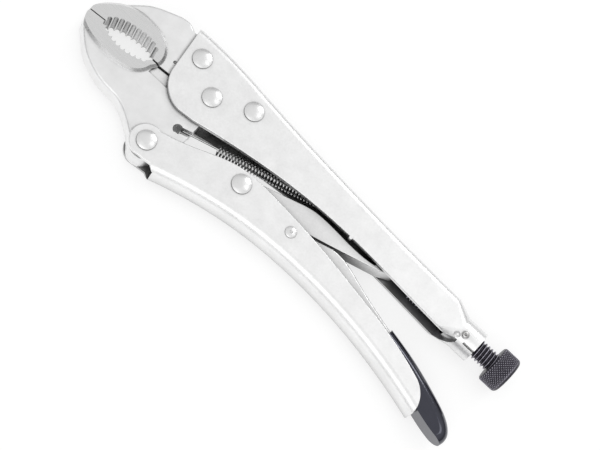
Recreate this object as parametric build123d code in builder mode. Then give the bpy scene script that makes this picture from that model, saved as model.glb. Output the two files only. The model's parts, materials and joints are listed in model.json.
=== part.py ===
from build123d import *
import math
import os

# Locking pliers lying on their side.
# +X runs from the jaws to the adjusting knob, +Y from the lower handle to the
# upper one, +Z up. All lengths are millimetres and every pivot turns about Z.

# ---- driving dimensions -------------------------------------------------
MID = 9.5             # height of the tool's middle plane
CHANNEL_WIDTH = 16.0  # outside width of both folded handles
SHEET = 2.2           # sheet thickness of the handles
BEND = 4.0            # outside radius of the fold along a handle's spine
EDGE_ROUND = 0.4      # softened edge of the plated sheet
JAW_WIDTH = 11.4      # width of the forged jaws
PAD_WIDTH = 14.5      # width over the ground pads round the teeth
LINK_WIDTH = 10.0     # width of the toggle link
LEVER_WIDTH = 8.4     # width of the folded release lever
LEVER_SHEET = 1.6     # sheet thickness of the release lever
GRIP_WIDTH = 10.8     # width of the dipped grip on the lever's tail
LEVER_FOLD = 0.8      # outside radius of the release lever's fold
GRIP_ROUND = 5.2      # rounding along the back and end of the dipped grip
LINK_ROUND = 0.4      # rounding along the toggle link's sides
RUNNING = 0.05        # radial clearance of a turning fit

PIVOT_JAW = (-58.7, 11.4)
PIVOT_HANDLE = (-66.2, -24.9)
PIVOT_LINK = (-22.1, -9.4)
PIVOT_LEVER = (8.7, -10.1)
RIVET_FRONT = (-74.0, 22.0)
RIVET_REAR = (-40.5, 20.3)
RIVET_RADIUS = 3.0    # shank of the five large rivets
HEAD_RADIUS = 4.6
HEAD_HEIGHT = 1.5
RIM_SHARE = 0.3       # straight rim of a head, as a share of its height
LEVER_PIN_RADIUS = 1.75
LEVER_HEAD_RADIUS = 2.7
LEVER_HEAD_HEIGHT = 0.9
LEVER_PIN_DIMPLE = 1.0 # ball that dents each end of the small rivet
LEVER_PIN_SINK = 0.35  # depth of that dent

EYE_RADIUS = 10.5     # moving jaw round its pivot
EYE_GAP = 0.4         # between that eye and the fixed jaw
FORGING_ROUND = 1.4   # rounding along the back of each jaw
TOOTH_PITCH = 2.75
TOOTH_RADIUS = 1.15

SCREW_Y = 13.1        # place of the screw's axis across the tool
SCREW_RADIUS = 4.95
NUT_RADIUS = 6.5
NUT_START = 90.0
BORE_START = 82.0     # where the nut's bore breaks into the channel
TAIL_START = 86.0     # where the channel begins to close
COLLAR_START = 95.0   # where it has become a round collar
COLLAR_END = 105.8
COLLAR_FLAT = 0.02    # smallest flat left between the corners of the closing tail
SEAM_START = 99.5     # the seam along the rolled collar
SEAM_WIDTH = 1.3
SEAM_ANGLE = 38       # degrees from the top towards the open side
TAIL_MOUTH = [(85.0, 3.7), (85.0, 15.3), (96.5, 15.3), (96.5, 13.9), (91.0, 6.0), (87.5, 3.7)]
DENT_X = 95.0
DENT_ANGLE = 30
DENT_RADIUS = 2.2
DENT_REACH = 9.6      # from the screw's axis to the middle of the dent's ball
WELD_X = 97.8
WELD_ANGLE = 14
WELD_RADIUS = 2.0
WELD_SINK = 0.7
CRATER_RADIUS = 0.7
TIP_FACE = 60.7       # face of the dog point, towards the link
TIP_RADIUS = 3.4
TIP_LENGTH = 5.0
TIP_CHAMFER = 0.8
SCREW_CHAMFER = 1.0
KNOB_START = 116.1
KNOB_END = 125.8
KNOB_RADIUS = 9.4
KNOB_CHAMFER = 0.7
KNOB_ROUND = 2.2

WIRE_RADIUS = 0.45
COIL_RADIUS = 2.5     # outside of the coil
COIL_START = 20.1     # along the spring from the hole in the jaw
COIL_END = 73.0
SPRING_HOLE = (-59.9, -10.0)
SPRING_HOLE_RADIUS = 2.4
SPRING_ANCHOR = (16.0, 14.6)
ANCHOR_HOLE_RADIUS = 1.3
ANCHOR_RADIUS = 3.0   # round end of the anchor's tab
ANCHOR_FLARE = 3.0    # how far the tab widens on each side
ANCHOR_RISE = 12.0    # and over what height
JAW_HOOK = 7.0        # depth of the spring's hook in the jaw
ANCHOR_HOOK = 4.2     # and in the anchor
GROOVE_WIDTH = 3.2    # groove for the spring's hook on each side of the jaw
GROOVE_DEPTH = 4.2
GROOVE_LENGTH = 9.0


def low(width):
    """Underside of a piece of this width that is centred on the middle plane."""
    return MID - width / 2


def polar(centre, radius, degrees):
    """Point at this radius and angle about a centre."""
    angle = math.radians(degrees)
    return (centre[0] + radius * math.cos(angle), centre[1] + radius * math.sin(angle))


def around_screw(degrees):
    """Direction out of the screw's axis, turned from +Z towards the open side."""
    angle = math.radians(degrees)
    return Vector(0, -math.sin(angle), math.cos(angle))


def shifted(points, dx, dy):
    """The same points moved by dx and dy."""
    return [(x + dx, y + dy) for x, y in points]


def grown(points, centre, amount):
    """The same points moved away from a centre by this amount."""
    moved = []
    for x, y in points:
        reach = math.hypot(x - centre[0], y - centre[1])
        moved.append((x + (x - centre[0]) * amount / reach, y + (y - centre[1]) * amount / reach))
    return moved


def tooth_places(line, first, last):
    """Evenly spaced points along a line of teeth, between two fractions of it."""
    count = round(line.length * (last - first) / TOOTH_PITCH)
    places = [line @ (first + (last - first) * i / count) for i in range(count + 1)]
    return [(place.X, place.Y) for place in places]


def rivet(place, shank, head, height):
    """Domed rivet through both walls of a handle."""
    top = MID + CHANNEL_WIDTH / 2
    rim = RIM_SHARE * height
    dome = ((height - rim) ** 2 + head**2) / (2 * (height - rim))
    with BuildPart() as body:
        with BuildSketch(Plane((*place, 0), x_dir=(1, 0, 0), z_dir=(0, -1, 0))):
            with BuildLine():
                upper_dome = RadiusArc((0, top + height), (head, top + rim), dome)
                Polyline(upper_dome @ 1, (head, top), (shank, top), (shank, MID), (0, MID), upper_dome @ 0)
            make_face()
        revolve(axis=Axis((*place, 0), (0, 0, 1)))
        mirror(about=Plane.XY.offset(MID))
    return body.part


def save(name, part):
    """Label a finished piece and write it."""
    part.label = name
    export_step(part, f"parts/{name}.step")


os.makedirs("parts", exist_ok=True)
SPRING_RUN = Vector(*SPRING_ANCHOR) - Vector(*SPRING_HOLE)
SPRING_LENGTH = SPRING_RUN.length
SPRING_DIRECTION = SPRING_RUN.normalized()
SPRING_TILT = math.degrees(math.atan2(SPRING_RUN.Y, SPRING_RUN.X))

# ---- upper handle: folded channel with a rolled tail ----------------------
UPPER_SPINE = [(-84.2, 33.6), (-57.7, 33.1), (-35.3, 30.8), (9.5, 27.0), (TAIL_START, 23.4)]
UPPER_EDGE = [(-57.7, -2.9), (-35.3, 1.9), (-12.9, 5.5), (18.0, 8.0), (52.0, 7.3), (TAIL_START, 5.4)]
UPPER_FRONT = [(-80.3, 8.0), (-75.3, 0.0), (-66.0, -3.7)]
EDGE_BUMP = (30.1, 7.9)
EDGE_BUMP_RADIUS = 0.9
UPPER_MIDDLE = 22.0   # above this lie only the edges along the fold
BELOW = -20.0         # past the handle's open side
BEFORE = -100.0       # and past its front

with BuildPart() as upper_channel:
    with BuildSketch(Plane.XY.offset(low(CHANNEL_WIDTH))):
        with BuildLine():
            Spline(*UPPER_SPINE)
            Line(UPPER_SPINE[-1], UPPER_EDGE[-1])
            Spline(*reversed(UPPER_EDGE))
            Line(UPPER_EDGE[0], UPPER_FRONT[-1])
            ThreePointArc(*reversed(UPPER_FRONT))
            Line(UPPER_FRONT[0], UPPER_SPINE[0])
        make_face()
    extrude(amount=CHANNEL_WIDTH)
    fillet(upper_channel.edges().filter_by(GeomType.BSPLINE).group_by(Axis.Y)[-1], BEND)
    # soften the open edge and the front, but not the end that joins the tail
    upper_sides = upper_channel.faces().filter_by(Axis.Z).edges()
    upper_rim = [edge for edge in upper_sides if edge.center().Y < UPPER_MIDDLE]
    fillet([edge for edge in upper_rim if edge.center().X < TAIL_START - EDGE_ROUND], EDGE_ROUND)

with BuildPart() as upper_tail:
    with BuildSketch(Plane.YZ.offset(TAIL_START)) as channel_end:
        with Locations(((UPPER_SPINE[-1][1] + UPPER_EDGE[-1][1]) / 2, MID)):
            Rectangle(UPPER_SPINE[-1][1] - UPPER_EDGE[-1][1], CHANNEL_WIDTH)
        fillet(channel_end.vertices().group_by(Axis.X)[-1], BEND)
        fillet(channel_end.vertices().group_by(Axis.X)[0], EDGE_ROUND)
    with BuildSketch(Plane.YZ.offset(COLLAR_START)):
        with Locations((SCREW_Y, MID)):
            RectangleRounded(CHANNEL_WIDTH, CHANNEL_WIDTH, CHANNEL_WIDTH / 2 - COLLAR_FLAT)
    loft()
    with BuildSketch(Plane.YZ.offset(COLLAR_START)):
        with Locations((SCREW_Y, MID)):
            Circle(CHANNEL_WIDTH / 2)
    extrude(amount=COLLAR_END - COLLAR_START)

with BuildPart() as upper_cavity:
    with BuildSketch(Plane.XY.offset(low(CHANNEL_WIDTH - 2 * SHEET))):
        with BuildLine():
            inner = Spline(*shifted(UPPER_SPINE, 0, -SHEET))
            Polyline(inner @ 1, (TAIL_START, BELOW), (BEFORE, BELOW), (BEFORE, (inner @ 0).Y), inner @ 0)
        make_face()
    extrude(amount=CHANNEL_WIDTH - 2 * SHEET)
    fillet(upper_cavity.edges().filter_by(GeomType.BSPLINE), BEND - SHEET)

with BuildPart() as upper_handle:
    add(upper_channel.part)
    add(upper_tail.part)
    add(upper_cavity.part, mode=Mode.SUBTRACT)
    with BuildSketch(Plane.YZ.offset(BORE_START)):
        with Locations((SCREW_Y, MID)):
            Circle(NUT_RADIUS)
    extrude(amount=COLLAR_END - BORE_START, mode=Mode.SUBTRACT)
    with Locations(*[(*place, MID) for place in (PIVOT_JAW, RIVET_FRONT, RIVET_REAR)]):
        Cylinder(RIVET_RADIUS, CHANNEL_WIDTH, mode=Mode.SUBTRACT)
    # small bump lanced on the open edge of the upper wall
    with BuildSketch(Plane.XY.offset(MID + CHANNEL_WIDTH / 2 - SHEET)):
        with Locations(EDGE_BUMP):
            Circle(EDGE_BUMP_RADIUS)
    extrude(amount=SHEET)
    # the channel's open side narrows as its lower wall curls up into the collar
    with BuildSketch(Plane.XZ.offset(-SCREW_Y)):
        with BuildLine():
            Polyline(*TAIL_MOUTH, TAIL_MOUTH[0])
        make_face()
    extrude(amount=SCREW_Y - BELOW, mode=Mode.SUBTRACT)
    # dent hammered beside the weld
    with Locations(Vector(DENT_X, SCREW_Y, MID) + around_screw(DENT_ANGLE) * DENT_REACH):
        Sphere(DENT_RADIUS, mode=Mode.SUBTRACT)
    # seam where the rolled collar doesn't quite close
    with BuildSketch(Plane((SEAM_START, SCREW_Y, MID), x_dir=(1, 0, 0), z_dir=around_screw(SEAM_ANGLE))):
        Rectangle(COLLAR_END - SEAM_START, SEAM_WIDTH, align=(Align.MIN, Align.CENTER))
    extrude(amount=CHANNEL_WIDTH, mode=Mode.SUBTRACT)
save("upper_handle", upper_handle.part)

# ---- weld bead on the collar ------------------------------------------------
WELD_TOP = CHANNEL_WIDTH / 2 - WELD_SINK + WELD_RADIUS

with BuildPart() as tail_weld:
    with Locations(Vector(WELD_X, SCREW_Y, MID) + around_screw(WELD_ANGLE) * (CHANNEL_WIDTH / 2 - WELD_SINK)):
        Sphere(WELD_RADIUS)
    with BuildSketch(Plane.YZ.offset(COLLAR_START)):
        with Locations((SCREW_Y, MID)):
            Circle(CHANNEL_WIDTH / 2)
    extrude(amount=COLLAR_END - COLLAR_START, mode=Mode.SUBTRACT)
    with Locations(Vector(WELD_X, SCREW_Y, MID) + around_screw(WELD_ANGLE) * WELD_TOP):
        Sphere(CRATER_RADIUS, mode=Mode.SUBTRACT)
save("tail_weld", tail_weld.part)

# ---- threaded nut pressed into the tail ------------------------------------
with BuildPart() as thread_nut:
    with BuildSketch(Plane.YZ.offset(NUT_START)):
        with Locations((SCREW_Y, MID)):
            Circle(NUT_RADIUS)
            Circle(SCREW_RADIUS + RUNNING, mode=Mode.SUBTRACT)
    extrude(amount=COLLAR_END - NUT_START)
save("thread_nut", thread_nut.part)

# ---- spring anchor: tab under the upper handle's spine ----------------------
with BuildPart() as spring_anchor:
    with BuildSketch(Plane.XY.offset(MID - SHEET / 2)):
        with BuildLine():
            tab = ThreePointArc(
                polar(SPRING_ANCHOR, ANCHOR_RADIUS, 180),
                polar(SPRING_ANCHOR, ANCHOR_RADIUS, 270),
                polar(SPRING_ANCHOR, ANCHOR_RADIUS, 0),
            )
            tab_right = (tab @ 1) + (ANCHOR_FLARE, ANCHOR_RISE)
            tab_left = (tab @ 0) + (-ANCHOR_FLARE, ANCHOR_RISE)
            Polyline(tab @ 1, tab_right, tab_left, tab @ 0)
        make_face()
        with Locations(SPRING_ANCHOR):
            Circle(ANCHOR_HOLE_RADIUS, mode=Mode.SUBTRACT)
    extrude(amount=SHEET)
    add(upper_cavity.part, mode=Mode.INTERSECT)
save("spring_anchor", spring_anchor.part)

# ---- rivets ------------------------------------------------------------------
save("fixed_jaw_rivet_front", rivet(RIVET_FRONT, RIVET_RADIUS, HEAD_RADIUS, HEAD_HEIGHT))
save("fixed_jaw_rivet_rear", rivet(RIVET_REAR, RIVET_RADIUS, HEAD_RADIUS, HEAD_HEIGHT))
save("jaw_pivot_rivet", rivet(PIVOT_JAW, RIVET_RADIUS, HEAD_RADIUS, HEAD_HEIGHT))
save("handle_pivot_rivet", rivet(PIVOT_HANDLE, RIVET_RADIUS, HEAD_RADIUS, HEAD_HEIGHT))
save("toggle_link_rivet", rivet(PIVOT_LINK, RIVET_RADIUS, HEAD_RADIUS, HEAD_HEIGHT))

with BuildPart() as release_lever_rivet:
    add(rivet(PIVOT_LEVER, LEVER_PIN_RADIUS, LEVER_HEAD_RADIUS, LEVER_HEAD_HEIGHT))
    dent_centre = CHANNEL_WIDTH / 2 + LEVER_HEAD_HEIGHT - LEVER_PIN_SINK + LEVER_PIN_DIMPLE
    with Locations((*PIVOT_LEVER, MID + dent_centre), (*PIVOT_LEVER, MID - dent_centre)):
        Sphere(LEVER_PIN_DIMPLE, mode=Mode.SUBTRACT)
save("release_lever_rivet", release_lever_rivet.part)

# ---- ground pads round the mouth, shared by both jaws --------------------------
PAD_RISE = (PAD_WIDTH - JAW_WIDTH) / 2
PAD_CENTRE = (-107.0, 5.0)
PAD_TOP = [
    (-129, 2.0), (-120.4, 11.8), (-111.5, 17.4), (-100.5, 18.4), (-91.4, 15.6), (-87.0, 8.5), (-88.9, 3.0)
]
PAD_BOTTOM = [(-88.9, 3.0), (-93.2, -3.6), (-101.5, -6.0), (-113.0, -5.8), (-122.0, -3.4), (-129, 2.0)]


with BuildPart() as pads:
    with BuildSketch(Plane.XY.offset(MID + PAD_WIDTH / 2)):
        with BuildLine():
            Spline(*PAD_TOP)
            Spline(*PAD_BOTTOM)
        make_face()
    with BuildSketch(Plane.XY.offset(MID + JAW_WIDTH / 2)) as pad_foot:
        with BuildLine():
            Spline(*grown(PAD_TOP, PAD_CENTRE, PAD_RISE))
            Spline(*grown(PAD_BOTTOM, PAD_CENTRE, PAD_RISE))
        make_face()
    loft()
    with BuildSketch(Plane.XY.offset(MID)):
        add(pad_foot.sketch)
    extrude(amount=JAW_WIDTH / 2)
    mirror(about=Plane.XY.offset(MID))

# ---- fixed jaw -----------------------------------------------------------------
FIXED_BACK = [
    (-126.0, 5.0), (-123.8, 9.8), (-116.1, 17.4), (-107.8, 25.2), (-98.5, 29.9), (-90.5, 32.2), (-84.6, 29.9)
]
FIXED_TEETH = [(-117.3, 4.1), (-115.0, 7.2), (-110.6, 9.7), (-102.5, 11.4), (-94.6, 11.4), (-91.0, 9.6)]
FIXED_TEETH_SPAN = (0.04, 0.93)
FIXED_ARC = EYE_RADIUS + EYE_GAP
DIMPLE = (-81.9, 12.6)  # punch mark beside the front rivet
DIMPLE_RADIUS = 0.8


with BuildPart() as fixed_body:
    with BuildSketch(Plane.XY.offset(low(JAW_WIDTH))) as fixed_side:
        with BuildLine():
            Spline(*FIXED_BACK)
            fixed_rear = Polyline(
                FIXED_BACK[-1], (-57.7, 29.4), (-34.5, 26.9), (-33.0, 13.0), polar(PIVOT_JAW, FIXED_ARC, 6)
            )
            fixed_arc = ThreePointArc(
                fixed_rear @ 1, polar(PIVOT_JAW, FIXED_ARC, 100), polar(PIVOT_JAW, FIXED_ARC, 200)
            )
            Polyline(fixed_arc @ 1, (-80.0, 6.7), (-88.2, 6.0), (-89.9, 6.1), FIXED_TEETH[-1])
            fixed_teeth = Spline(*reversed(FIXED_TEETH))
            Polyline(FIXED_TEETH[0], (-125.9, 3.3), FIXED_BACK[0])
        make_face()
    extrude(amount=JAW_WIDTH)
    fillet(fixed_body.edges().filter_by(GeomType.BSPLINE).group_by(Axis.Y)[-1], FORGING_ROUND)

with BuildPart() as fixed_jaw:
    with BuildSketch(Plane.XY.offset(low(PAD_WIDTH))):
        add(fixed_side.sketch)
    extrude(amount=PAD_WIDTH)
    add(pads.part, mode=Mode.INTERSECT)
    add(fixed_body.part)
    with BuildSketch(Plane.XY.offset(low(PAD_WIDTH))):
        with Locations(*tooth_places(fixed_teeth, *FIXED_TEETH_SPAN)):
            Circle(TOOTH_RADIUS)
    extrude(amount=PAD_WIDTH, mode=Mode.SUBTRACT)
    with Locations(*[(*place, MID) for place in (RIVET_FRONT, RIVET_REAR)]):
        Cylinder(RIVET_RADIUS, JAW_WIDTH, mode=Mode.SUBTRACT)
    with Locations((*DIMPLE, MID + JAW_WIDTH / 2)):
        Sphere(DIMPLE_RADIUS, mode=Mode.SUBTRACT)
save("fixed_jaw", fixed_jaw.part)

# ---- moving jaw -----------------------------------------------------------------
CHIN = [
    (-126.0, 1.2), (-124.9, -1.6), (-119.5, -8.0), (-114.6, -12.1), (-107.4, -15.8), (-98.9, -18.1),
    (-89.1, -19.0), (-80.1, -23.0), (-74.0, -27.4), (-70.6, -31.2),
]
MOVING_TEETH = [(-117.3, 3.6), (-111.5, 0.9), (-104.7, 0.0), (-98.0, 1.0), (-91.3, 3.6)]
MOVING_TEETH_SPAN = (0.06, 0.96)
HEEL_RADIUS = 8.3
JAW_REAR = -54.0
TONGUE_LOW = 0.6      # lower edge of the thinner tongue beside the cutter
TONGUE_X = -82.0
TONGUE_LENGTH = 11.0
TONGUE_HEIGHT = 8.0
TONGUE_SINK = 1.3     # how far the tongue lies below the jaw's sides

with BuildPart() as moving_body:
    with BuildSketch(Plane.XY.offset(low(JAW_WIDTH))) as moving_side:
        with BuildLine():
            chin = Spline(*CHIN)
            heel = ThreePointArc(
                chin @ 1, polar(PIVOT_HANDLE, HEEL_RADIUS, 270), polar(PIVOT_HANDLE, HEEL_RADIUS, 320)
            )
            rear = Polyline(heel @ 1, (JAW_REAR - 1.5, -24.0), (JAW_REAR, -12.0), (JAW_REAR, 2.0))
            eye = ThreePointArc(
                rear @ 1, polar(PIVOT_JAW, EYE_RADIUS, 60), polar(PIVOT_JAW, EYE_RADIUS, 205)
            )
            Polyline(eye @ 1, (-80.0, 5.9), (-88.2, 5.2), (-89.9, 5.2), MOVING_TEETH[-1])
            moving_teeth = Spline(*reversed(MOVING_TEETH))
            Polyline(MOVING_TEETH[0], (-125.9, 2.8), CHIN[0])
        make_face()
    extrude(amount=JAW_WIDTH)
    fillet(moving_body.edges().filter_by(GeomType.BSPLINE).group_by(Axis.Y)[0], FORGING_ROUND)

with BuildPart() as moving_jaw:
    with BuildSketch(Plane.XY.offset(low(PAD_WIDTH))):
        add(moving_side.sketch)
    extrude(amount=PAD_WIDTH)
    add(pads.part, mode=Mode.INTERSECT)
    add(moving_body.part)
    with BuildSketch(Plane.XY.offset(low(PAD_WIDTH))):
        with Locations(*tooth_places(moving_teeth, *MOVING_TEETH_SPAN)):
            Circle(TOOTH_RADIUS)
    extrude(amount=PAD_WIDTH, mode=Mode.SUBTRACT)
    for place in (PIVOT_JAW, PIVOT_HANDLE):
        with Locations((*place, MID)):
            Cylinder(RIVET_RADIUS + RUNNING, JAW_WIDTH, mode=Mode.SUBTRACT)
    with Locations((*SPRING_HOLE, MID)):
        Cylinder(SPRING_HOLE_RADIUS, JAW_WIDTH, mode=Mode.SUBTRACT)
    # on both sides: the sunken tongue and the groove for the spring's hook
    with BuildSketch(Plane.XY.offset(MID + JAW_WIDTH / 2)):
        with Locations((TONGUE_X, TONGUE_LOW)):
            Rectangle(TONGUE_LENGTH, TONGUE_HEIGHT, align=(Align.CENTER, Align.MIN))
    tongue_sink = extrude(amount=-TONGUE_SINK, mode=Mode.SUBTRACT)
    mirror(tongue_sink, about=Plane.XY.offset(MID), mode=Mode.SUBTRACT)
    with BuildSketch(Plane.XY.offset(MID + JAW_WIDTH / 2)):
        with Locations(Location(SPRING_HOLE, SPRING_TILT)):
            Rectangle(GROOVE_LENGTH, GROOVE_WIDTH, align=(Align.MIN, Align.CENTER))
    hook_groove = extrude(amount=-GROOVE_DEPTH, mode=Mode.SUBTRACT)
    mirror(hook_groove, about=Plane.XY.offset(MID), mode=Mode.SUBTRACT)
save("moving_jaw", moving_jaw.part)

# ---- lower handle: folded channel, front ears round the heel -------------------------
LOWER_SPINE = [
    (-54.5, -33.8), (-35.3, -27.9), (-8.4, -22.7), (22.9, -21.1), (54.3, -23.2), (81.2, -27.8), (103.2, -33.4)
]
LOWER_EDGE = [
    (95.0, -20.3), (71.8, -13.5), (45.3, -8.9), (16.2, -4.8), (-6.0, -3.1), (-17.4, -2.7), (-26.3, -3.4),
    (-41.1, -8.4), (-61.3, -16.3),
]
EAR_RADIUS = 8.0
EAR_MIDDLE = -60.0    # the ears' own edges lie in front of this
PAST_TAIL = 110.0     # limits of the hollow, outside the handle on every side
PAST_EDGE = 10.0
PAST_EARS = -80.0
PAST_SPINE = -40.0

with BuildPart() as lower_channel:
    with BuildSketch(Plane.XY.offset(low(CHANNEL_WIDTH))):
        with BuildLine():
            lower_spine = Spline(*LOWER_SPINE)
            tail = ThreePointArc(lower_spine @ 1, (101.2, -25.9), LOWER_EDGE[0])
            Spline(*LOWER_EDGE)
            ear = ThreePointArc(
                polar(PIVOT_HANDLE, EAR_RADIUS, 75), polar(PIVOT_HANDLE, EAR_RADIUS, 180),
                polar(PIVOT_HANDLE, EAR_RADIUS, 265),
            )
            Line(LOWER_EDGE[-1], ear @ 0)
            Polyline(ear @ 1, (-57.6, -31.8), lower_spine @ 0)
        make_face()
    extrude(amount=CHANNEL_WIDTH)
    lower_sides = lower_channel.faces().filter_by(Axis.Z).edges()
    fillet(lower_sides.filter_by(GeomType.BSPLINE).group_by(Axis.Y)[0], BEND)
    # soften the open edge and the ears
    lower_sides = lower_channel.faces().filter_by(Axis.Z).edges()
    ear_rim = ShapeList(edge for edge in lower_sides if edge.center().X < EAR_MIDDLE)
    open_rim = lower_sides.filter_by(GeomType.BSPLINE).group_by(Axis.Y)[-1]
    fillet(open_rim + ear_rim, EDGE_ROUND)

with BuildPart() as lower_cavity:
    with BuildSketch(Plane.XY.offset(low(CHANNEL_WIDTH - 2 * SHEET))):
        with BuildLine():
            floor = Spline(*shifted(LOWER_SPINE, 0, SHEET))
            open_tail = [(PAST_TAIL, (floor @ 1).Y), (PAST_TAIL, PAST_EDGE), (PAST_EARS, PAST_EDGE)]
            open_ears = [(PAST_EARS, PAST_SPINE), (LOWER_SPINE[0][0], PAST_SPINE)]
            Polyline(floor @ 1, *open_tail, *open_ears, floor @ 0)
        make_face()
    extrude(amount=CHANNEL_WIDTH - 2 * SHEET)
    fillet(lower_cavity.edges().filter_by(GeomType.BSPLINE), BEND - SHEET)

with BuildPart() as lower_handle:
    add(lower_channel.part)
    add(lower_cavity.part, mode=Mode.SUBTRACT)
    with Locations(*[(*place, MID) for place in (PIVOT_HANDLE, PIVOT_LINK)]):
        Cylinder(RIVET_RADIUS, CHANNEL_WIDTH, mode=Mode.SUBTRACT)
    with Locations((*PIVOT_LEVER, MID)):
        Cylinder(LEVER_PIN_RADIUS, CHANNEL_WIDTH, mode=Mode.SUBTRACT)
save("lower_handle", lower_handle.part)

# ---- toggle link ----------------------------------------------------------------------
LINK_EYE = 5.6
LINK_NOSE = (53.7, 13.1)
LINK_NOSE_RADIUS = 4.2
LINK_TOP = [(-12.9, -1.0), (0.5, 3.5), (9.5, 6.2), (17.0, 6.75), (46.5, 7.1)]

with BuildPart() as toggle_link:
    with BuildSketch(Plane.XY.offset(low(LINK_WIDTH))):
        with BuildLine():
            link_eye = ThreePointArc(
                polar(PIVOT_LINK, LINK_EYE, 110), polar(PIVOT_LINK, LINK_EYE, 180),
                polar(PIVOT_LINK, LINK_EYE, 287),
            )
            Spline(link_eye @ 0, *LINK_TOP)
            Line(LINK_TOP[-1], polar(LINK_NOSE, LINK_NOSE_RADIUS, 165))
            nose = ThreePointArc(
                polar(LINK_NOSE, LINK_NOSE_RADIUS, 165), polar(LINK_NOSE, LINK_NOSE_RADIUS, 45),
                polar(LINK_NOSE, LINK_NOSE_RADIUS, -60),
            )
            Polyline(nose @ 1, (49.8, 6.4), link_eye @ 1)
        make_face()
    extrude(amount=LINK_WIDTH)
    fillet(toggle_link.faces().filter_by(Axis.Z).edges(), LINK_ROUND)
    with Locations((*PIVOT_LINK, MID)):
        Cylinder(RIVET_RADIUS + RUNNING, LINK_WIDTH, mode=Mode.SUBTRACT)
save("toggle_link", toggle_link.part)

# ---- release lever: narrow folded channel on its own small rivet ------------------------
LEVER_EYE = 3.0
LEVER_TOP = [
    (30.0, -0.5), (33.5, -0.6), (45.3, -3.6), (72.0, -10.9), (90.0, -15.1), (108.0, -20.9), (115.6, -24.2)
]
LEVER_FLOOR = [(118.9, -31.8), (105.7, -29.4), (84.0, -22.3), (60.0, -17.0), (20.0, -14.2)]
LEVER_HOLLOW = [
    (3.0, -40.0), (3.0, -9.6), (9.0, -9.2), (30.5, -2.5), (33.5, -2.4), (45.3, -5.4), (72.0, -12.7),
    (90.0, -16.9), (108.0, -22.7), (112.4, -26.0), (119.0, -40.0),
]

with BuildPart() as release_lever:
    with BuildSketch(Plane.XY.offset(low(LEVER_WIDTH))):
        with BuildLine():
            lever_eye = ThreePointArc(
                polar(PIVOT_LEVER, LEVER_EYE, 110), polar(PIVOT_LEVER, LEVER_EYE, 190),
                polar(PIVOT_LEVER, LEVER_EYE, 275),
            )
            Line(lever_eye @ 0, LEVER_TOP[0])
            Spline(*LEVER_TOP)
            ThreePointArc(LEVER_TOP[-1], (118.7, -27.0), LEVER_FLOOR[0])
            Spline(*LEVER_FLOOR)
            Line(LEVER_FLOOR[-1], lever_eye @ 1)
        make_face()
    extrude(amount=LEVER_WIDTH)
    lever_folds = release_lever.faces().filter_by(Axis.Z).edges().filter_by(GeomType.BSPLINE)
    fillet(lever_folds.group_by(Axis.Y)[-1], LEVER_FOLD)
    with Locations((*PIVOT_LEVER, MID)):
        Cylinder(LEVER_PIN_RADIUS + RUNNING, LEVER_WIDTH, mode=Mode.SUBTRACT)
    # hollow from below, leaving two cheeks and a back
    with BuildSketch(Plane.XY.offset(low(LEVER_WIDTH - 2 * LEVER_SHEET))):
        with BuildLine():
            Polyline(*LEVER_HOLLOW, LEVER_HOLLOW[0])
        make_face()
    extrude(amount=LEVER_WIDTH - 2 * LEVER_SHEET, mode=Mode.SUBTRACT)
save("release_lever", release_lever.part)

# ---- grip dipped on the lever's tail ------------------------------------------------------
GRIP_BACK = [(72.0, -8.7), (90.1, -12.7), (108.1, -18.6), (117.2, -22.8), (122.0, -27.6), (122.0, -33.6)]
GRIP_FLOOR = [(122.0, -33.6), (105.4, -30.4), (88.0, -24.6), (72.0, -20.6)]

with BuildPart() as release_lever_grip:
    with BuildSketch(Plane.XY.offset(low(GRIP_WIDTH))):
        with BuildLine():
            Spline(*GRIP_BACK)
            Spline(*GRIP_FLOOR)
            Line(GRIP_FLOOR[-1], GRIP_BACK[0])
        make_face()
    extrude(amount=GRIP_WIDTH)
    grip_rims = release_lever_grip.faces().filter_by(Axis.Z).edges()
    fillet(grip_rims.filter_by(GeomType.BSPLINE).group_by(Axis.Y)[-1], GRIP_ROUND)
    add(release_lever.part, mode=Mode.SUBTRACT)
save("release_lever_grip", release_lever_grip.part)

# ---- adjusting screw: dog point, threaded shank and knurled knob -----------------------------
with BuildPart() as screw_tip:
    with BuildSketch(Plane.YZ.offset(TIP_FACE)):
        with Locations((SCREW_Y, MID)):
            Circle(TIP_RADIUS)
    extrude(amount=TIP_LENGTH)
    chamfer(screw_tip.faces().sort_by(Axis.X)[0].edges(), TIP_CHAMFER)
save("screw_tip", screw_tip.part)

with BuildPart() as adjusting_screw:
    with BuildSketch(Plane.YZ.offset(TIP_FACE + TIP_LENGTH)):
        with Locations((SCREW_Y, MID)):
            Circle(SCREW_RADIUS)
    extrude(amount=KNOB_START - TIP_FACE - TIP_LENGTH)
    chamfer(adjusting_screw.faces().sort_by(Axis.X)[0].edges(), SCREW_CHAMFER)
save("adjusting_screw", adjusting_screw.part)

with BuildPart() as adjusting_knob:
    with BuildSketch(Plane.YZ.offset(KNOB_START)):
        with Locations((SCREW_Y, MID)):
            Circle(KNOB_RADIUS)
    extrude(amount=KNOB_END - KNOB_START)
    chamfer(adjusting_knob.faces().sort_by(Axis.X)[0].edges(), KNOB_CHAMFER)
    fillet(adjusting_knob.faces().sort_by(Axis.X)[-1].edges(), KNOB_ROUND)
save("adjusting_knob", adjusting_knob.part)

# ---- tension spring: coil as a sleeve, with a straight leg and a hook at each end -------------
SPRING_PLANE = Plane((*SPRING_HOLE, MID), x_dir=(0, 0, 1), z_dir=SPRING_DIRECTION)

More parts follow.
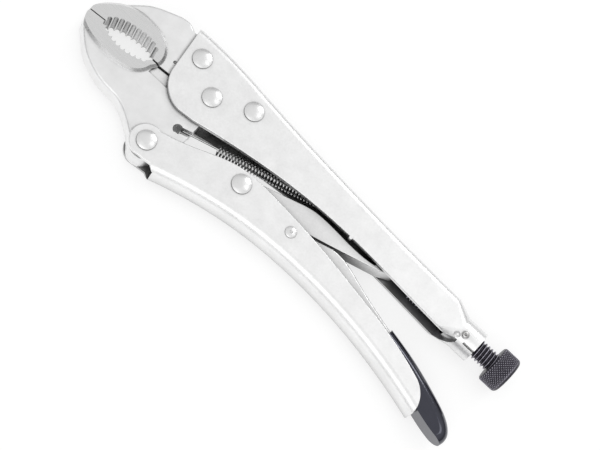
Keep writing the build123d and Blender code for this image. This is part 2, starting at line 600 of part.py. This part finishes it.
with BuildPart() as tension_spring:
    with BuildSketch(SPRING_PLANE.offset(COIL_START)):
        Circle(COIL_RADIUS)
        Circle(COIL_RADIUS - 2 * WIRE_RADIUS, mode=Mode.SUBTRACT)
    extrude(amount=COIL_END - COIL_START)
    with BuildSketch(SPRING_PLANE):
        with Locations((COIL_RADIUS - WIRE_RADIUS, 0)):
            Circle(WIRE_RADIUS)
    extrude(amount=COIL_START)
    with BuildSketch(SPRING_PLANE.offset(COIL_END)):
        with Locations((COIL_RADIUS - WIRE_RADIUS, 0)):
            Circle(WIRE_RADIUS)
    extrude(amount=SPRING_LENGTH - COIL_END)
    for x, y, drop in ((*SPRING_HOLE, JAW_HOOK), (*SPRING_ANCHOR, ANCHOR_HOOK)):
        with Locations((x, y, MID + COIL_RADIUS)):
            Cylinder(WIRE_RADIUS, drop, align=(Align.CENTER, Align.CENTER, Align.MAX))
save("tension_spring", tension_spring.part)
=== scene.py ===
import json
import math

import bpy
from mathutils import Matrix, Vector


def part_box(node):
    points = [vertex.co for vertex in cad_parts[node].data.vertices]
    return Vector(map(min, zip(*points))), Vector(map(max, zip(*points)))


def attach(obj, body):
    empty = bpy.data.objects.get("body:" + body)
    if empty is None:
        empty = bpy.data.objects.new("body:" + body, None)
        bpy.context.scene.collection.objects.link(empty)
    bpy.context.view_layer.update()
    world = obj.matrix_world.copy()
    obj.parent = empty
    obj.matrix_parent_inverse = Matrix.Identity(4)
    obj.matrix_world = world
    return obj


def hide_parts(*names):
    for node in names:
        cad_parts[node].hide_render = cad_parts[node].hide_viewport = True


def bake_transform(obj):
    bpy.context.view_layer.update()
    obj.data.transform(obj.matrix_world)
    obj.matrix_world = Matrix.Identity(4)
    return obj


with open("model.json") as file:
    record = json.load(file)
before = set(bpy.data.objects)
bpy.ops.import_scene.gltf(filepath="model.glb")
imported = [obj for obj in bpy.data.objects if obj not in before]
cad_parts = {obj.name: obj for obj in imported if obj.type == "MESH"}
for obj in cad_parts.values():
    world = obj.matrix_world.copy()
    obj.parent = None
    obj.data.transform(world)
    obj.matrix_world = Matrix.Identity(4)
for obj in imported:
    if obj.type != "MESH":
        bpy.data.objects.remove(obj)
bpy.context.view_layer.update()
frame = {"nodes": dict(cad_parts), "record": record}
MM = 0.001

# ---- where things are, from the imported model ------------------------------
screw_low, screw_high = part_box("adjusting_screw")
knob_low, knob_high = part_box("adjusting_knob")
spring_low, spring_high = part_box("tension_spring")
anchor_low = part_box("spring_anchor")[0]
body_low, body_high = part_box("upper_handle")
MIDDLE = (body_low.z + body_high.z) / 2
SCREW_AXIS = Vector((0, (screw_low.y + screw_high.y) / 2, MIDDLE))

# ---- sizes of the detailed pieces -------------------------------------------
SCREW_RADIUS = (screw_high.y - screw_low.y) / 2
KNOB_RADIUS = (knob_high.y - knob_low.y) / 2
SMALLEST_RADIUS = 0.2 * MM
THREAD_PITCH = 1.75 * MM
THREAD_DEPTH = 1.07 * MM
THREAD_CHAMFER = 1.0 * MM
THREAD_CREST = 0.14       # flat of the crest, as a share of half a pitch
THREAD_FLANK = 0.62       # sloping flank, as the same share
THREAD_SIDES = 72
RINGS_PER_PITCH = 14
KNURL_COUNT = 40          # diamonds round the knob
KNURL_LEAD = 1.45 * MM    # length of a diamond along the knob
KNURL_DEPTH = 0.55 * MM
KNURL_CREST = 1.25        # how much steeper than a full triangle each groove is
KNURL_FRONT_FADE = 0.4 * MM
KNURL_REAR_FADE = 1.0 * MM
KNURL_RINGS = 72
KNOB_SIDES = 360
KNOB_CHAMFER = 0.7 * MM
KNOB_ROUND = 2.2 * MM
KNOB_ROUND_RINGS = 12
KNOB_DISH = 0.5 * MM
KNOB_DISH_EDGE = (0.4 * MM, 1.2 * MM)  # where the dish's wall starts and ends, inside the rounded rim
KNOB_CENTRE = (3.0 * MM, 0.5 * MM)     # last rings of the dished face
WIRE_RADIUS = 0.45 * MM
WIRE_SIDES = 10
COIL_STEPS = 16           # points in one turn of the coil
COIL_RADIUS = 2.05 * MM   # to the middle of the wire
COIL_PITCH = 1.62 * MM
COIL_START = 20.1 * MM    # along the spring from the hole in the jaw
COIL_END = 73.0 * MM
LEG_END = 1.0 * MM        # the front leg stops this far before the coil
JAW_HOOK = 7.0 * MM
HOOK_FORWARD = 1.5 * MM   # the wire goes down beside the hole's edge
ANCHOR_HOOK = 4.2 * MM
HOOK_BEND = 1.2 * MM      # reach of the bend between a hook and its leg
HOOK_CORNER = 0.35 * MM   # how far along the leg the middle of that bend is
HOOK_CORNER_RISE = 0.86   # its height, as a share of the coil's radius
ANCHOR_RADIUS = 3.0 * MM  # round end of the anchor's tab, about its hole
JAW_HALF = 5.7 * MM       # from the middle plane to a jaw's side
PAD_RISE = 0.4 * MM       # the ground pads begin this far above it
MOUTH_CENTRE = Vector((-104.0, 5.7, 0)) * MM
MOUTH_REACH = Vector((15.0, 6.4, 0)) * MM

# ---- camera ---------------------------------------------------------------------
ROLL = math.radians(43)
TILT = math.radians(21)
LENS = 135
DISTANCE = 1.008
AIM = Vector((9.5, -4.6, 17.5)) * MM


# ---- node helpers -----------------------------------------------------------------
def grey(value, warmth=0.0):
    """Neutral colour, a little warmer or cooler."""
    return (value * (1 + warmth), value, value * (1 - warmth))


def add_node(tree, kind, inputs=None, **settings):
    """New shader node with its settings and its inputs, each a value or a socket."""
    made = tree.nodes.new(kind)
    for name, value in settings.items():
        setattr(made, name, value)
    for name, value in (inputs or {}).items():
        if isinstance(value, bpy.types.NodeSocket):
            tree.links.new(value, made.inputs[name])
        else:
            made.inputs[name].default_value = value
    return made


def noise(tree, where, size, detail=3.0, roughness=0.55):
    """Noise with features of this size in metres."""
    inputs = {"Vector": where, "Scale": 1 / size, "Detail": detail, "Roughness": roughness}
    return add_node(tree, "ShaderNodeTexNoise", inputs).outputs["Fac"]


def spread(tree, value, low, high, start=0.3, end=0.7):
    """A value between start and end taken to one between low and high."""
    inputs = {"Value": value, "From Min": start, "From Max": end, "To Min": low, "To Max": high}
    return add_node(tree, "ShaderNodeMapRange", inputs).outputs["Result"]


def math_node(tree, operation, a, b=0.0):
    """Result of one sum on two values or sockets."""
    return add_node(tree, "ShaderNodeMath", {0: a, 1: b}, operation=operation).outputs[0]


def two_tone(tree, factor, dark, light):
    """Colour between two, by a factor."""
    made = add_node(tree, "ShaderNodeMix", {"Factor": factor}, data_type="RGBA")
    colours = [socket for socket in made.inputs if socket.type == "RGBA"]
    for socket, colour in zip(colours, (dark, light)):
        if isinstance(colour, bpy.types.NodeSocket):
            tree.links.new(colour, socket)
        else:
            socket.default_value = (*colour, 1)
    return [socket for socket in made.outputs if socket.type == "RGBA"][0]


def with_painted_shade(tree, colour, shade_colour, reach=1.6 * MM, closed=0.35, clear=0.92):
    """Colour darkened towards a shade colour where little is open round the surface, as painted shade: all
    shade at closed, none at clear.
    """
    inputs = {"Distance": reach}
    # ambient occlusion share, used to paint shade into hollows and creases
    open_share = add_node(tree, "ShaderNodeAmbientOcclusion", inputs, samples=8).outputs["AO"]
    return two_tone(tree, spread(tree, open_share, 0, 1, closed, clear), shade_colour, colour)


def bumped(tree, height, depth, under=None):
    """Normal bent by a height of this many metres."""
    inputs = {"Height": height, "Distance": depth, "Strength": 1.0}
    if under is not None:
        inputs["Normal"] = under
    return add_node(tree, "ShaderNodeBump", inputs).outputs["Normal"]


def new_material(name, metallic, **sockets):
    """Material with a Principled shader; gives it, its tree, shader and object coordinates."""
    made = bpy.data.materials.new(name)
    made.use_nodes = True
    tree = made.node_tree
    shader = tree.nodes["Principled BSDF"]
    shader.inputs["Metallic"].default_value = metallic
    for socket, value in sockets.items():
        shader.inputs[socket.replace("_", " ")].default_value = value
    where = tree.nodes.new("ShaderNodeTexCoord").outputs["Object"]
    return made, tree, shader, where


def plated(name, dark, light, rough, grain, depth):
    """Blasted and nickel-plated steel: fine grain, faint clouding and small pits, with painted shade in deep
    hollows and creases.
    """
    made, tree, shader, where = new_material(name, 1.0)
    clouds = noise(tree, where, 9 * MM, detail=4.0)
    fine = noise(tree, where, grain, detail=4.0, roughness=0.7)
    speckle = noise(tree, where, grain * 0.45, detail=2.0)
    tone = add_node(tree, "ShaderNodeMix", {"Factor": 0.4, "A": clouds, "B": fine}).outputs["Result"]
    colour = two_tone(tree, spread(tree, tone, 0, 1, 0.35, 0.65), dark, light)
    # painted shade: near black where little is open within 14 mm, such as sides near the floor
    hollow_shade = with_painted_shade(tree, colour, grey(0.03), 14 * MM, 0.22, 0.92)
    # painted shade: grey lines in creases and between parts, within 1.6 mm
    tree.links.new(with_painted_shade(tree, hollow_shade, grey(0.30)), shader.inputs["Base Color"])
    tree.links.new(spread(tree, fine, rough - 0.07, rough + 0.09), shader.inputs["Roughness"])
    blasted = bumped(tree, speckle, depth * 0.6)
    tree.links.new(bumped(tree, fine, depth, blasted), shader.inputs["Normal"])
    return made


def forged(name, dark, light, ground_dark, ground_light):
    """Plated forging whose raised pads and mouth are ground to a darker bare grey, with painted shade between
    the teeth, in hollows and in creases.
    """
    made, tree, shader, where = new_material(name, 1.0)
    clouds = noise(tree, where, 7 * MM, detail=4.0)
    fine = noise(tree, where, 0.9 * MM, detail=4.0, roughness=0.7)
    parts = add_node(tree, "ShaderNodeSeparateXYZ", {"Vector": where}).outputs
    height = math_node(tree, "ABSOLUTE", math_node(tree, "SUBTRACT", parts["Z"], MIDDLE))
    raised = spread(tree, height, 0, 1, JAW_HALF + PAD_RISE * 0.4, JAW_HALF + PAD_RISE)
    across = math_node(tree, "DIVIDE", math_node(tree, "SUBTRACT", parts["X"], MOUTH_CENTRE.x), MOUTH_REACH.x)
    along = math_node(tree, "DIVIDE", math_node(tree, "SUBTRACT", parts["Y"], MOUTH_CENTRE.y), MOUTH_REACH.y)
    reach = math_node(tree, "ADD", math_node(tree, "POWER", across, 2), math_node(tree, "POWER", along, 2))
    mouth = spread(tree, reach, 1, 0, 0.9, 1.0)
    ground = math_node(tree, "MAXIMUM", raised, mouth)
    stretched = add_node(tree, "ShaderNodeMapping", {"Vector": where, "Scale": (0.06, 1.0, 0.3)})
    lines = noise(tree, stretched.outputs["Vector"], 0.35 * MM, detail=3.0)
    plate = two_tone(tree, spread(tree, clouds, 0, 1), dark, light)
    bare = two_tone(tree, spread(tree, lines, 0, 1), ground_dark, ground_light)
    colour = two_tone(tree, ground, plate, bare)
    # painted shade: the mouth and teeth darkened where little is open within 5 mm
    teeth_shade = with_painted_shade(tree, colour, grey(0.05), 5.0 * MM)
    # painted shade in hollows within 9 mm, then in creases within 1.6 mm
    hollow_shade = with_painted_shade(tree, colour, grey(0.05), 9 * MM, 0.10, 0.62)
    elsewhere = with_painted_shade(tree, hollow_shade, grey(0.30))
    # the mouth gets the painted shade between the teeth, the rest the painted shade of hollows and creases
    tree.links.new(two_tone(tree, mouth, elsewhere, teeth_shade), shader.inputs["Base Color"])
    smoother = math_node(tree, "MULTIPLY", ground, 0.12)
    rough = math_node(tree, "SUBTRACT", spread(tree, fine, 0.34, 0.5), smoother)
    tree.links.new(rough, shader.inputs["Roughness"])
    cast = math_node(tree, "MULTIPLY", fine, spread(tree, ground, 0.03 * MM, 0.004 * MM, 0, 1))
    scratches = math_node(tree, "MULTIPLY", lines, spread(tree, ground, 0, 0.002 * MM, 0, 1))
    tree.links.new(bumped(tree, math_node(tree, "ADD", cast, scratches), 1.0), shader.inputs["Normal"])
    return made


def fine_grained(name, dark, light, rough, grain, depth, metallic=1.0, **sockets):
    """Machined, drawn or dipped surface with a fine grain and rubbed patches."""
    made, tree, shader, where = new_material(name, metallic, **sockets)
    rubbed = noise(tree, where, 3 * MM, detail=5.0)
    fine = noise(tree, where, grain, detail=3.0)
    tree.links.new(two_tone(tree, spread(tree, rubbed, 0, 1), dark, light), shader.inputs["Base Color"])
    tree.links.new(spread(tree, rubbed, rough * 1.25, rough * 0.8), shader.inputs["Roughness"])
    tree.links.new(bumped(tree, fine, depth), shader.inputs["Normal"])
    return made


def blackened(name, dark, worn, rough):
    """Black oxide rubbed to bare metal on its crests, by the mesh's own wear attribute."""
    made, tree, shader, where = new_material(name, 0.8)
    rubbed = noise(tree, where, 1.5 * MM, detail=4.0)
    wear = add_node(tree, "ShaderNodeAttribute", attribute_name="wear").outputs["Fac"]
    bare = math_node(tree, "MULTIPLY", wear, spread(tree, rubbed, 0.45, 1.0))
    tree.links.new(two_tone(tree, bare, dark, worn), shader.inputs["Base Color"])
    tree.links.new(spread(tree, rubbed, rough, rough + 0.12), shader.inputs["Roughness"])
    tree.links.new(bumped(tree, noise(tree, where, 0.4 * MM), 0.01 * MM), shader.inputs["Normal"])
    return made


# name, darker and lighter colour, roughness, size of the grain and depth of the bump
MATERIALS = {
    "plated_sheet": plated("plated_sheet", grey(0.84), grey(0.93), 0.40, 0.9 * MM, 0.026 * MM),
    "forged_steel": forged("forged_steel", grey(0.82), grey(0.90), grey(0.69), grey(0.74)),
    "rivet_steel": plated("rivet_steel", grey(0.79), grey(0.85), 0.33, 1.6 * MM, 0.0006 * MM),
    "link_steel": plated("link_steel", grey(0.80), grey(0.89), 0.36, 0.8 * MM, 0.02 * MM),
    "nut_steel": fine_grained("nut_steel", grey(0.42), grey(0.55), 0.35, 0.5 * MM, 0.01 * MM),
    "weld_metal": plated("weld_metal", grey(0.62, 0.01), grey(0.85, 0.01), 0.22, 1.1 * MM, 0.12 * MM),
    "black_oxide": blackened("black_oxide", (0.040, 0.037, 0.048), (0.62, 0.60, 0.69), 0.32),
    "dipped_vinyl": fine_grained(
        "dipped_vinyl", (0.008, 0.008, 0.013), (0.014, 0.014, 0.021), 0.12, 2.2 * MM, 0.004 * MM,
        metallic=0.0, IOR=1.5, Specular_Tint=(0.70, 0.74, 1.0, 1.0),
        Coat_Weight=0.6, Coat_IOR=1.55, Coat_Roughness=0.06,
    ),
    "spring_steel": fine_grained("spring_steel", grey(0.55), grey(0.75), 0.24, 0.4 * MM, 0.004 * MM),
}

for part in frame["record"]["subparts"]:
    shown = frame["nodes"][part["node"]]
    shown.data.materials.clear()
    shown.data.materials.append(MATERIALS[part["material_slot"]])


# ---- mesh helpers ---------------------------------------------------------------------
def finished(name, vertices, faces, slot, body=None, stands_for=None, wear=None):
    """Smooth mesh object from vertices and faces, with its material, body and rubbed crests."""
    mesh = bpy.data.meshes.new(name)
    mesh.from_pydata(vertices, [], faces)
    if wear is not None:
        mesh.attributes.new("wear", "FLOAT", "POINT").data.foreach_set("value", wear)
    mesh.shade_smooth()
    mesh.materials.append(MATERIALS[slot])
    made = bpy.data.objects.new(name, mesh)
    bpy.context.scene.collection.objects.link(made)
    if body:
        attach(made, body)
    if stands_for:
        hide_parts(stands_for)
    return made


def turned(profile, count, radius_at, axis):
    """Closed skin round an axis along X. profile is (x, radius) pairs; the end points close it."""
    vertices = []
    faces = []
    for x, radius in profile:
        for step in range(count):
            angle = 2 * math.pi * step / count
            r = radius_at(x, angle, radius)
            vertices.append((x, axis.y + r * math.cos(angle), axis.z + r * math.sin(angle)))
    for ring in range(len(profile) - 1):
        for step in range(count):
            here = ring * count + step
            beside = ring * count + (step + 1) % count
            faces.append((here, here + count, beside + count, beside))
    last = (len(profile) - 1) * count
    faces.append(tuple(range(count)))
    faces.append(tuple(last + step for step in reversed(range(count))))
    return vertices, faces


def triangle(phase):
    """Distance to the nearest whole number, from 0 to 1 at the halves."""
    return 2 * abs(phase - round(phase))


# ---- adjusting screw with a real right-hand thread ----------------------------------------
def thread_radius(x, angle, radius):
    """Radius of a 60 degree thread with flat crests and roots."""
    slope = triangle(x / THREAD_PITCH - angle / (2 * math.pi))
    groove = min(max((slope - THREAD_CREST) / THREAD_FLANK, 0), 1)
    return max(radius - groove * THREAD_DEPTH, SMALLEST_RADIUS)


def thread_profile():
    """Rings along the threaded shank, with a chamfer at its inner end."""
    count = round((screw_high.x - screw_low.x) / THREAD_PITCH * RINGS_PER_PITCH)
    rings = []
    for i in range(count + 1):
        x = screw_low.x + (screw_high.x - screw_low.x) * i / count
        lead_in = min((x - screw_low.x) / THREAD_CHAMFER, 1)
        rings.append((x, SCREW_RADIUS - THREAD_CHAMFER * (1 - lead_in)))
    return rings


def rubbed(vertices, radius, depth):
    """Wear of each point: 1 at this radius from the screw's axis, 0 a groove's depth below it."""
    wear = []
    for x, y, z in vertices:
        reach = math.hypot(y - SCREW_AXIS.y, z - SCREW_AXIS.z)
        wear.append(min(max(1 - (radius - reach) / depth, 0), 1) ** 2)
    return wear


screw_skin = turned(thread_profile(), THREAD_SIDES, thread_radius, SCREW_AXIS)
screw_wear = rubbed(screw_skin[0], SCREW_RADIUS, THREAD_DEPTH * 0.5)
finished("threaded_screw", *screw_skin, "black_oxide", "adjusting_screw", "adjusting_screw", screw_wear)

# ---- adjusting knob with a diamond knurl ---------------------------------------------------
KNURL_FROM = knob_low.x + KNOB_CHAMFER
KNURL_TO = knob_high.x - KNOB_ROUND


def knurl_radius(x, angle, radius):
    """Radius of the knob where two families of grooves cross."""
    fade_in = min(max((x - KNURL_FROM) / KNURL_FRONT_FADE + 1, 0), 1)
    fade_out = min(max((KNURL_TO - x) / KNURL_REAR_FADE + 1, 0), 1)
    turn = KNURL_COUNT * angle / (2 * math.pi)
    along = (x - KNURL_FROM) / KNURL_LEAD
    height = min(triangle(turn + along), triangle(turn - along))
    if radius < KNOB_RADIUS - KNOB_ROUND:
        return radius
    return radius - KNURL_DEPTH * (1 - min(height * KNURL_CREST, 1)) * fade_in * fade_out


def knob_profile():
    """Front face, chamfer, knurled rim, rounded rear edge and dished rear face."""
    rings = [(knob_low.x, r) for r in (KNOB_CENTRE[1], SCREW_RADIUS, KNOB_RADIUS - KNOB_CHAMFER)]
    for i in range(KNURL_RINGS + 1):
        rings.append((KNURL_FROM + (KNURL_TO - KNURL_FROM) * i / KNURL_RINGS, KNOB_RADIUS))
    for i in range(1, KNOB_ROUND_RINGS + 1):
        turn = math.radians(90 * i / KNOB_ROUND_RINGS)
        x = KNURL_TO + KNOB_ROUND * math.sin(turn)
        rings.append((x, KNOB_RADIUS - KNOB_ROUND * (1 - math.cos(turn))))
    rim = KNOB_RADIUS - KNOB_ROUND
    rings += [(knob_high.x, rim - KNOB_DISH_EDGE[0]), (knob_high.x - KNOB_DISH, rim - KNOB_DISH_EDGE[1])]
    rings += [(knob_high.x - KNOB_DISH, r) for r in KNOB_CENTRE]
    return rings


knob_skin = turned(knob_profile(), KNOB_SIDES, knurl_radius, SCREW_AXIS)
knob_wear = rubbed(knob_skin[0], KNOB_RADIUS, KNURL_DEPTH * 0.8)
finished("knurled_knob", *knob_skin, "black_oxide", "adjusting_screw", "adjusting_knob", knob_wear)

# ---- tension spring wound from one wire -------------------------------------------------------
hole = Vector((spring_low.x + WIRE_RADIUS, spring_low.y + COIL_RADIUS, MIDDLE))
anchor = Vector((spring_high.x - WIRE_RADIUS, anchor_low.y + ANCHOR_RADIUS, MIDDLE))


def spring_line():
    """Middle line of the wire: hook, leg, coil, leg and hook."""
    forward = (anchor - hole).normalized()
    up = Vector((0, 0, 1))
    aside = forward.cross(up)
    edge = hole + forward * HOOK_FORWARD
    line = [edge + up * (COIL_RADIUS - JAW_HOOK), edge + up * (COIL_RADIUS - HOOK_BEND)]
    line.append(edge + up * COIL_RADIUS * HOOK_CORNER_RISE + forward * HOOK_CORNER)
    line.append(edge + up * COIL_RADIUS + forward * HOOK_BEND)
    line.append(hole + up * COIL_RADIUS + forward * (COIL_START - LEG_END))
    turns = round((COIL_END - COIL_START) / COIL_PITCH)
    steps = turns * COIL_STEPS
    for i in range(steps + 1):
        turn = 2 * math.pi * turns * i / steps
        out = up * math.cos(turn) + aside * math.sin(turn)
        line.append(hole + forward * (COIL_START + (COIL_END - COIL_START) * i / steps) + out * COIL_RADIUS)
    line.append(anchor + up * COIL_RADIUS - forward * HOOK_BEND)
    line.append(anchor + up * COIL_RADIUS * HOOK_CORNER_RISE - forward * HOOK_CORNER)
    line += [anchor + up * (COIL_RADIUS - HOOK_BEND), anchor + up * (COIL_RADIUS - ANCHOR_HOOK)]
    return line


def tube(line, radius, sides):
    """Skin of round wire along a line, with its sides carried along without twisting."""
    vertices = []
    faces = []
    side = None
    for i, point in enumerate(line):
        ahead = line[min(i + 1, len(line) - 1)] - line[max(i - 1, 0)]
        ahead.normalize()
        if side is None:
            side = ahead.orthogonal()
        side = (side - ahead * side.dot(ahead)).normalized()
        other = ahead.cross(side)
        for k in range(sides):
            angle = 2 * math.pi * k / sides
            vertices.append(point + (side * math.cos(angle) + other * math.sin(angle)) * radius)
    for i in range(len(line) - 1):
        for k in range(sides):
            here = i * sides + k
            beside = i * sides + (k + 1) % sides
            faces.append((here, beside, beside + sides, here + sides))
    last = (len(line) - 1) * sides
    faces.append(tuple(reversed(range(sides))))
    faces.append(tuple(last + k for k in range(sides)))
    return vertices, faces


coil = finished("coil_spring", *tube(spring_line(), WIRE_RADIUS, WIRE_SIDES), "spring_steel")
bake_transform(coil)
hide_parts("tension_spring")

# ---- floor, lights and camera ---------------------------------------------------------------------
FLOOR_REACH = 2.0
floor_mesh = bpy.data.meshes.new("floor")
corners = [(-FLOOR_REACH, -FLOOR_REACH, 0), (FLOOR_REACH, -FLOOR_REACH, 0)]
corners += [(FLOOR_REACH, FLOOR_REACH, 0), (-FLOOR_REACH, FLOOR_REACH, 0)]
floor_mesh.from_pydata(corners, [], [(0, 1, 2, 3)])
floor = bpy.data.objects.new("floor", floor_mesh)
bpy.context.scene.collection.objects.link(floor)
paper, paper_tree, paper_shader, paper_where = new_material(
    "white_paper", 0.0, Roughness=0.9, Emission_Strength=0.76, Emission_Color=(1, 1, 1, 1)
)
paper_tone = spread(paper_tree, noise(paper_tree, paper_where, 40 * MM), 0, 1)
paper_colour = two_tone(paper_tree, paper_tone, grey(0.27), grey(0.29))
paper_tree.links.new(paper_colour, paper_shader.inputs["Base Color"])
floor_mesh.materials.append(paper)


def softbox(name, place, width, height, radiance):
    """Rectangular area light facing the tool, as bright as this seen from the front."""
    data = bpy.data.lights.new(name, "AREA")
    data.shape = "RECTANGLE"
    data.size = width
    data.size_y = height
    data.energy = radiance * math.pi * width * height
    made = bpy.data.objects.new(name, data)
    made.location = place
    made.rotation_euler = (Vector((0, 0, 0)) - Vector(place)).to_track_quat("-Z", "Y").to_euler()
    bpy.context.scene.collection.objects.link(made)


# place, width, height and radiance
softbox("key_light", (0.47, 0.42, 1.0), 0.30, 0.30, 1.9)
softbox("camera_side_light", (0.10, -0.85, 0.95), 1.2, 0.75, 0.95)
softbox("low_light", (0.10, -1.15, 0.36), 1.2, 0.42, 0.62)
softbox("strip_light", (0.15, 0.84, 0.60), 0.40, 0.20, 5.0)

# studio walls, darker towards the horizon
world = bpy.data.worlds.new("studio")
bpy.context.scene.world = world
world.use_nodes = True
sky = world.node_tree
direction = sky.nodes.new("ShaderNodeTexCoord").outputs["Generated"]
rise = add_node(sky, "ShaderNodeSeparateXYZ", {"Vector": direction}).outputs["Z"]
sky_tone = two_tone(sky, spread(sky, rise, 0, 1, 0.0, 0.7), grey(0.12), grey(0.85))
sky.links.new(sky_tone, sky.nodes["Background"].inputs["Color"])
sky.nodes["Background"].inputs["Strength"].default_value = 1.0

lengthways = Vector((1, 0, 0))
across_tool = Vector((0, math.cos(TILT), math.sin(TILT)))
right = lengthways * math.cos(ROLL) + across_tool * math.sin(ROLL)
upward = across_tool * math.cos(ROLL) - lengthways * math.sin(ROLL)
back = right.cross(upward)
camera_data = bpy.data.cameras.new("camera")
camera_data.lens = LENS
camera_data.clip_start = 0.01
camera = bpy.data.objects.new("camera", camera_data)
facing = Matrix((right, upward, back)).transposed().to_4x4()
camera.matrix_world = Matrix.Translation(AIM + back * DISTANCE) @ facing
bpy.context.scene.collection.objects.link(camera)
bpy.context.scene.camera = camera
bpy.context.scene.view_settings.view_transform = "Standard"
